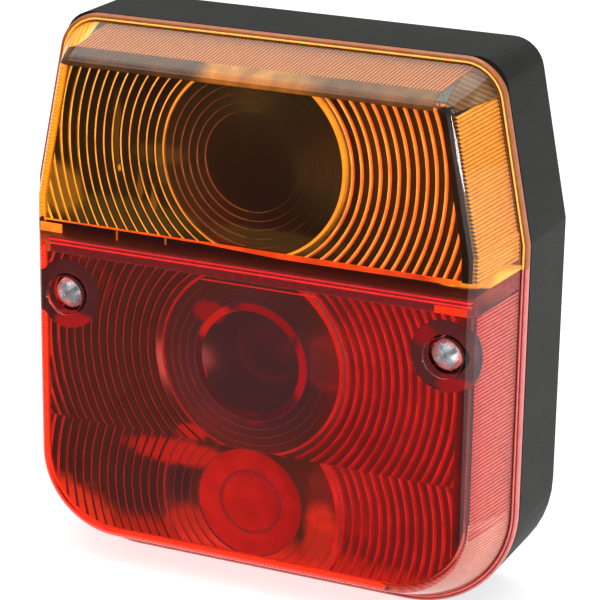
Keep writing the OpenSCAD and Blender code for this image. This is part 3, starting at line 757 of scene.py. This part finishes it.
# Top prisms glow faintly with painted light and carry dark pleats of painted shade; the strip behind the
# rounded top edge is painted with a golden-brown glow, brightest near the middle
peach = painted_light_plastic("amber_prism_top", even((0.66, 0.3, 0.085, 1)), 0.12, 0.4,
                    pleat_shade=((0.22, 0.05, 0.0, 1), (1408, -588, 0)))
top_edge = painted_light_plastic("amber_top_edge", [
    (-38, (0.07, 0.035, 0.008, 1)), (-12, (0.08, 0.04, 0.01, 1)), (-8, (0.42, 0.2, 0.02, 1)),
    (8, (0.3, 0.15, 0.02, 1)), (14, (0.12, 0.06, 0.015, 1)), (34, (0.16, 0.08, 0.015, 1))],
    0.3, 0.4, 300, 0.3)
for finish in (peach, top_edge):
    finish.node_tree.nodes["Principled BSDF"].inputs["Specular IOR Level"].default_value = 0
deep, start = 0.0019, -0.0258
top_front = lamp_h - wall_inset(start) - deep - low_edge
top_back = lamp_h - wall_inset(prism_back) - deep - low_edge
prism_sheet("amber_prisms_top", (-0.0372, start, top_front), (1, 0, 0),
            (0.003, prism_back - start, top_back - top_front), 101, 0.0001, (0, -0.41, 0.9), [],
            [peach, peach])
painted_strip("amber_top_edge", -38.2, 34.2, 1, 1,
           [(96.3, 1.85, 0), (96.95, 1.85, 0), (97.42, 2.75, 0), (98.4, 4.8, 0), (98.27, 4.9, 0),
            (97.3, 2.85, 0), (96.85, 2.0, 0), (96.3, 2.0, 0)],
           [top_edge])
# Corner sheets: the left one glows with painted golden light, the right one is painted shade; both carry
# pleats of painted shade
corner_glow = painted_light_plastic("amber_corner_glow", even((1.0, 0.42, 0.03, 1)), 0.8,
                          pleat_shade=((0.8, 0.3, 0.02, 1), (1400, 350, 0)))
corner_painted_sheet("amber_corner_left", -1, 1, corner_glow)
corner_shade = painted_light_plastic("amber_corner_shade", even((0.2, 0.11, 0.05, 1)), 0.1,
                           pleat_shade=((0.1, 0.05, 0.02, 1), (350, 350, 1200)))
corner_painted_sheet("amber_corner_right", 1, 1, corner_shade)
# Seam strips: the bead and the ribs glow with painted light along the weld, the bead brightest at its ends
weld = [painted_light_plastic("amber_weld_bead", [
    (-45, (1.0, 0.45, 0.08, 1)), (-34, (0.9, 0.15, 0.03, 1)), (-8, (0.85, 0.09, 0.02, 1)),
    (34, (0.55, 0.06, 0.02, 1)), (41, (1.0, 0.25, 0.03, 1))], 0.85, 0.3, 300, 0.2)]
for number, (left, right, start, end) in enumerate((
        (-42, -10, 0.25, 0.35), (-10, 6, 0.35, 1.05), (6, 40.4, 1.05, 0.9))):
    painted_strip("amber_weld_" + str(number + 1), left, right, start, end,
               [(65.9, 1.6, 0), (65.9, 1.9, 0), (66.9, 1.9, 0), (66.9, 1.6, 0)], weld)
painted_strip("amber_weld_end_left", -42.8, -38.5, 1, 1,
           [(64.4, 1.4, 0), (64.4, 1.7, 0), (66.1, 1.7, 0), (66.1, 1.4, 0)], weld)
for x, low in ((-27.3, 64.6), (-17.3, 65.2)):
    painted_strip("amber_weld_rib", x, x + 0.35, 1, 1,
               [(low, 1.8, 0), (low, 2.1, 0), (66.4, 2.1, 0), (66.4, 1.8, 0)],
               [painted_light_plastic("amber_weld_rib", even((0.35, 0.12, 0.03, 1)), 0.8)])

# Red lens: the lower part, clear red plastic made like the amber one, with rings for the stop bulb above and
# for the tail bulb below, a smooth round window before the tail bulb, and two bosses with wells for the
# screws. Like the amber one, its rings, window, rim, seam, prisms and corners glow with painted light, and
# sheets of painted shade lie behind the seam and in the bosses.
# Finishes by slot. Apart from the clear plastics, each glows with painted light in tones along the width, as
# on the amber lens: ring bands painted bright at the left and dark in the middle, the window painted
# brighter at its left, and crests, main step, rim and steps painted as glowing lines.
red_finish = [
    clear_plastic("clear_red", (0.95, 0.1, 0.08, 1), 0.02, 0.25),
    painted_light_plastic("red_ring_bands", [
        (-47, (0.85, 0.15, 0.04, 1)), (-41, (0.4, 0.04, 0.04, 1)), (-38, (0.06, 0.03, 0.02, 1)),
        (6, (0.06, 0.03, 0.02, 1)), (14, (0.25, 0.018, 0.022, 1)), (40, (0.3, 0.018, 0.018, 1))],
        0.85, 0.3, 260, 0.25),
    painted_light_plastic("red_inner_steps", [
        (-18, (0.16, 0.05, 0.09, 1)), (0, (0.12, 0.07, 0.1, 1)), (18, (0.16, 0.08, 0.13, 1))], 0.6),
    painted_light_plastic("red_main_step", even((0.42, 0.04, 0.03, 1)), 0.85, 0.3, 200, 0.15),
    clear_plastic("clear_red_wall", (1.0, 0.8, 0.76, 1), 0.02, 0.9),
    painted_light_plastic("red_seam_face", even((0.08, 0.012, 0.02, 1)), 0.1),
    # Inner face: clear plastic with painted spots of light: red glow along the left and bottom edges, a
    # painted grey glow in the stop rings' middle, and small red glints
    light_spots(clear_plastic("red_inner_face", (0.25, 0.04, 0.03, 1), 0.3, 0.2), 0.9, [
        ((0.07, 0.045, 0.03, 1), 0, 35, 60, 60), ((0.15, 0.022, 0.022, 1), 34, 35, 24, 50),
        ((0.05, 0.05, 0.06, 1), 0, 45.2, 18.5, 18.5), ((0.5, 0.05, 0.02, 1), 0, 5, 60, 8),
        ((0.8, 0.11, 0.03, 1), -40, 8, 14, 9), ((0.95, 0.17, 0.045, 1), -50, 30, 9, 46),
        ((0.55, 0.05, 0.03, 1), -15, 25, 13, 3.2), ((0.05, 0.045, 0.04, 1), -24, 16, 7, 5.5),
        ((0.03, 0.04, 0.04, 1), -14.3, 19, 2.8, 4.5), ((0.55, 0.07, 0.03, 1), 14.5, 13, 4.2, 9),
        ((0.5, 0.05, 0.03, 1), -12, 29.5, 4, 2), ((0.4, 0.03, 0.03, 1), -9.3, 41.2, 0.7, 1.8),
        ((0.22, 0.02, 0.025, 1), 1, 34.5, 2.6, 1.6), ((0.3, 0.03, 0.025, 1), -8.3, 53.6, 4, 2.6),
        ((0.45, 0.05, 0.02, 1), -12.5, 11, 6, 5), ((0.05, 0.018, 0.018, 1), 43, 30, 2.6, 60)]),
    painted_light_plastic("red_window", [
        (-12, (0.42, 0.045, 0.035, 1)), (12, (0.3, 0.028, 0.028, 1))], 0.85, 0.3, 250, 0.12),
    painted_light_plastic("red_rim_lip", even((0.6, 0.15, 0.14, 1)), 0.1),
    painted_light_plastic("red_rim_bead", even((0.7, 0.14, 0.12, 1)), 0.2),
    painted_light_plastic("red_rim_groove", even((0.33, 0.06, 0.06, 1)), 0.05),
    painted_light_plastic("red_ring_crests", [
        (-47, (0.95, 0.15, 0.06, 1)), (-38, (0.29, 0.05, 0.06, 1)), (0, (0.31, 0.045, 0.055, 1)),
        (20, (0.42, 0.032, 0.03, 1)), (42, (0.45, 0.035, 0.028, 1))], 0.9, 0.3, 300, 0.2),
    # Ring round the stop rings' middle: painted dark shade with painted red crescents of light
    light_spots(painted_light_plastic("red_eye_crescent", even((0.06, 0.04, 0.05, 1)), 0.8, 0.3, 160, 0.5), 0.9, [
        ((0.06, 0.04, 0.05, 1), 0, 45, 20, 20), ((0.3, 0.025, 0.03, 1), 4, 54, 9, 5),
        ((0.6, 0.05, 0.03, 1), -8, 52.5, 6, 4.5), ((0.42, 0.03, 0.04, 1), 11, 45, 3.5, 9)])]


def turned(name, x, height, path, finish):
    """Round body about an axis along Y; the closed path gives radius and depth in mm"""
    deselect()
    bpy.ops.mesh.primitive_circle_add(vertices=len(path), radius=0.01)
    body = bpy.context.object
    body.name = name
    bpy.ops.object.transform_apply(location=True, rotation=True, scale=True)
    for vert, (out, y) in zip(body.data.vertices, path):
        vert.co = (x + out / 1000, y / 1000, height)
    bpy.ops.object.mode_set(mode="EDIT")
    bpy.ops.mesh.select_all(action="SELECT")
    bpy.ops.mesh.spin(steps=64, angle=2 * pi, center=(x, 0, height), axis=(0, 1, 0))
    bpy.ops.object.mode_set(mode="OBJECT")
    clean_up(body)
    give(body, finish)
    return body


red = lens_body("red_lens_moulding", red_finish)
cut_off(red, seam_place, seam_up, False)
space = lens_hollow("red_space", red_finish)
path = [(0, 0.1, 0), (9.8, 0.1, 0), (11.2, 0.3, 12), (11.4, 0.1, 2)]
dim_rings(path, 11.4, 17.7, 1.6)
path.append((18.2, 0.6, 3))
bright_rings(path, 18.2, 66, 1.7, 0.24, 0.45)
upper = ring_plate("stop_rings", -0.0163, path, red_finish)
cut_off(upper, (0, 0, -0.0335), (0, 0, 1), True)
combine(space, upper, "DIFFERENCE")
path = [(0, 0.9, 7), (5.7, 0.9, 7), (5.9, 0.7, 2), (6.1, 0.7, 7), (6.3, 0.9, 2), (10.46, 0.9, 7),
        (10.6, 0.1, 2)]
dim_rings(path, 10.6, 17.5, 1.75)
path.append((18, 0.6, 11))
bright_rings(path, 18, 72, 1.75, 0.24, 0.45)
lower = ring_plate("tail_rings", -0.04396, path, red_finish)
cut_off(lower, (0, 0, -0.0334), (0, 0, 1), False)
combine(space, lower, "DIFFERENCE")
screw_x = 0.0378
screw_h = -0.0089
for side in (-1, 1):
    boss = turned("screw_boss", side * screw_x, screw_h,
                  [(0, -29.4), (6.9, -29.4), (6.7, -28.1), (6.4, -27.6), (6.2, -20.2), (6.0, -20),
                   (0, -20)], red_finish)
    combine(space, boss, "DIFFERENCE")
cut_off(space, seam_place - seam_up * 0.0042, seam_up, False)
combine(red, space, "DIFFERENCE")
for side in (-1, 1):
    well = turned("screw_well", side * screw_x, screw_h,
                  [(0, -19), (1.95, -19), (1.95, -26.7), (3.65, -26.7), (3.65, -30.3), (3.72, -30.42),
                   (3.85, -30.52), (3.85, -31), (0, -31)], red_finish)
    combine(red, well, "DIFFERENCE")
clean_up(red)
for face in red.data.polygons:
    if face.normal.dot(seam_up) > 0.995:
        face.material_index = 5
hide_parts("red_lens")
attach(red, "root")

# Red prism sheets: each pair is a glowing copy painted with light and a darker copy painted with shade, for
# the two faces of the ridges
salmon = [
    painted_light_plastic("red_prism_light_side", [
        (42.3, (0.6, 0.05, 0.04, 1)), (43.4, (0.62, 0.13, 0.11, 1)), (47, (0.62, 0.18, 0.15, 1))],
        0.25, 0.4),
    painted_light_plastic("red_prism_dark_side", [
        (42.3, (0.3, 0.02, 0.02, 1)), (43.4, (0.4, 0.04, 0.035, 1)), (47, (0.42, 0.06, 0.05, 1))],
        0.1, 0.4)]
scarlet = [painted_light_plastic("red_prism_left_light", even((0.9, 0.15, 0.05, 1)), 0.6, 0.25),
           painted_light_plastic("red_prism_left_dark", even((0.75, 0.06, 0.02, 1)), 0.5, 0.25)]
under_seam = (seam_place - seam_up * 0.0045, seam_up)
side_prisms("red_prisms_left", -1, 0.02, 0.064, False, 0.00185, 0.0001, [under_seam], scarlet)
side_prisms("red_prisms_right", 1, 0.018, 0.064, False, 0.002, 0.00018, [under_seam], salmon)
deep = 0.00225
low_front = wall_inset(prism_front) + deep - low_edge
low_back = wall_inset(prism_back) + deep - low_edge
prism_sheet("red_prisms_bottom", (-0.0305, prism_front, low_front), (1, 0, 0),
            (0.0038, prism_back - prism_front, low_back - low_front), 80, 0.0003, (0, -0.41, -0.9), [],
            scarlet)
# Corner sheets: the left one glows with painted red light, the right one with a pale painted light; both
# carry pleats of painted shade
corner_glow = painted_light_plastic("red_corner_glow", even((0.95, 0.14, 0.04, 1)), 0.7,
                          pleat_shade=((0.8, 0.06, 0.015, 1), (0, -350, 1400)))
corner_painted_sheet("red_corner_left", -1, -1, corner_glow)
corner_pale = painted_light_plastic("red_corner_pale", even((0.75, 0.4, 0.3, 1)), 0.15,
                          pleat_shade=((0.6, 0.2, 0.15, 1), (0, -350, 1400)))
corner_painted_sheet("red_corner_right", 1, -1, corner_pale)
# Seam strips: a dark sheet of painted shade behind the seam with two glowing lines of painted light, and
# glowing strips at its right end and along a chord below it
painted_strip("red_weld", -41.4, 42, 1, 1, [
    (60.3, 3.1, 0), (60.3, 2.7, 0), (62.0, 2.7, 1), (62.0, 1.9, 1), (62.2, 1.9, 1), (62.2, 2.7, 0),
    (62.75, 2.7, 1), (62.75, 1.9, 1), (62.95, 1.9, 1), (62.95, 2.7, 0), (63.6, 2.7, 0), (63.6, 3.1, 0)],
    [painted_light_plastic("red_weld_shade", even((0.13, 0.045, 0.055, 1)), 0.8),
     painted_light_plastic("red_weld_lines", even((0.75, 0.09, 0.1, 1)), 0.85)])
painted_strip("red_weld_end", 35.6, 41.5, 1, 1,
           [(60.5, 1.6, 0), (60.5, 1.9, 0), (61.8, 1.9, 0), (61.8, 1.6, 0)],
           [painted_light_plastic("red_weld_end", even((0.85, 0.12, 0.03, 1)), 0.85)])
painted_strip("red_weld_chord", -9.8, 13, 1, 1,
           [(59.7, 1.6, 0), (59.7, 1.8, 0), (59.9, 1.8, 0), (59.9, 1.6, 0)],
           [painted_light_plastic("red_weld_chord", even((0.65, 0.06, 0.07, 1)), 0.85)])
# Dark rings of painted shade in the bosses round the screw wells, with painted red glints of light
boss_shade = light_spots(painted_light_plastic("red_boss_shade", even((0.06, 0.05, 0.06, 1)), 0.8), 0.9, [
    ((0.06, 0.045, 0.055, 1), 0, 52, 60, 30), ((0.25, 0.02, 0.03, 1), 33.5, 56, 3, 2.6),
    ((0.3, 0.02, 0.03, 1), 39.5, 47.2, 4.5, 1.8), ((0.4, 0.03, 0.03, 1), -36.5, 47.2, 5.5, 2.4)])
for side, label in ((-1, "left"), (1, "right")):
    liner = turned("red_boss_shade_ring_" + label, side * screw_x, screw_h,
                   [(3.95, -27.9), (6.45, -27.9), (6.45, -27.6), (3.95, -27.6)], [boss_shade])
    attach(liner, "root")

# Lens screws: zinc plated steel, pan head with a cross slot.
zinc = grained("bright_zinc", (0.72, 0.78, 0.82, 1), 0.25, 1400, 0.0004, 0.75)
for node in ("lens_screw_left", "lens_screw_right"):
    finish_node(node, zinc)

# Cable grommet: black rubber bush that the back wall grips.
finish_node("cable_grommet", grained("grommet_rubber", (0.02, 0.02, 0.02, 1), 0.75, 1500, 0.00003))

# Bulbs with their holders, contacts, rivets and the earth strip: clear glass and brass caps in clips of zinc
# plated sheet, contacts of rolled brass. They show only faintly through the lens.
sheet_zinc = grained("zinc_sheet", (0.6, 0.61, 0.62, 1), 0.35, 1200, 0.00002, 1.0)
brass = grained("rolled_brass", (0.72, 0.52, 0.22, 1), 0.3, 1200, 0.00002, 1.0)
cap_brass = grained("drawn_brass", (0.68, 0.55, 0.32, 1), 0.33, 1200, 0.00002, 1.0)
solder = grained("dull_solder", (0.5, 0.5, 0.52, 1), 0.5, 900, 0.00004, 1.0)
black_glass = grained("black_insulator", (0.015, 0.015, 0.015, 1), 0.2, 900, 0.00001)
wire = grained("filament_wire", (0.35, 0.35, 0.36, 1), 0.35, 2000, 0.00001, 1.0)
finish_node("earth_strip", brass)
bulb_glass = clear_plastic("bulb_glass", (0.97, 0.98, 1.0, 1), 0.02, 0.9)
for bulb in ("indicator", "stop", "tail"):
    finish_node(bulb + "_holder", sheet_zinc)
    finish_node(bulb + "_contact", brass)
    finish_node(bulb + "_bulb_glass", bulb_glass)
    finish_node(bulb + "_bulb_filament", wire)
    finish_node(bulb + "_bulb_cap", cap_brass)
    finish_node(bulb + "_bulb_insulator", black_glass)
    finish_node(bulb + "_bulb_solder", solder)
    finish_node(bulb + "_holder_rivet_low", zinc)
    finish_node(bulb + "_holder_rivet_high", zinc)
    finish_node(bulb + "_contact_rivet", zinc)
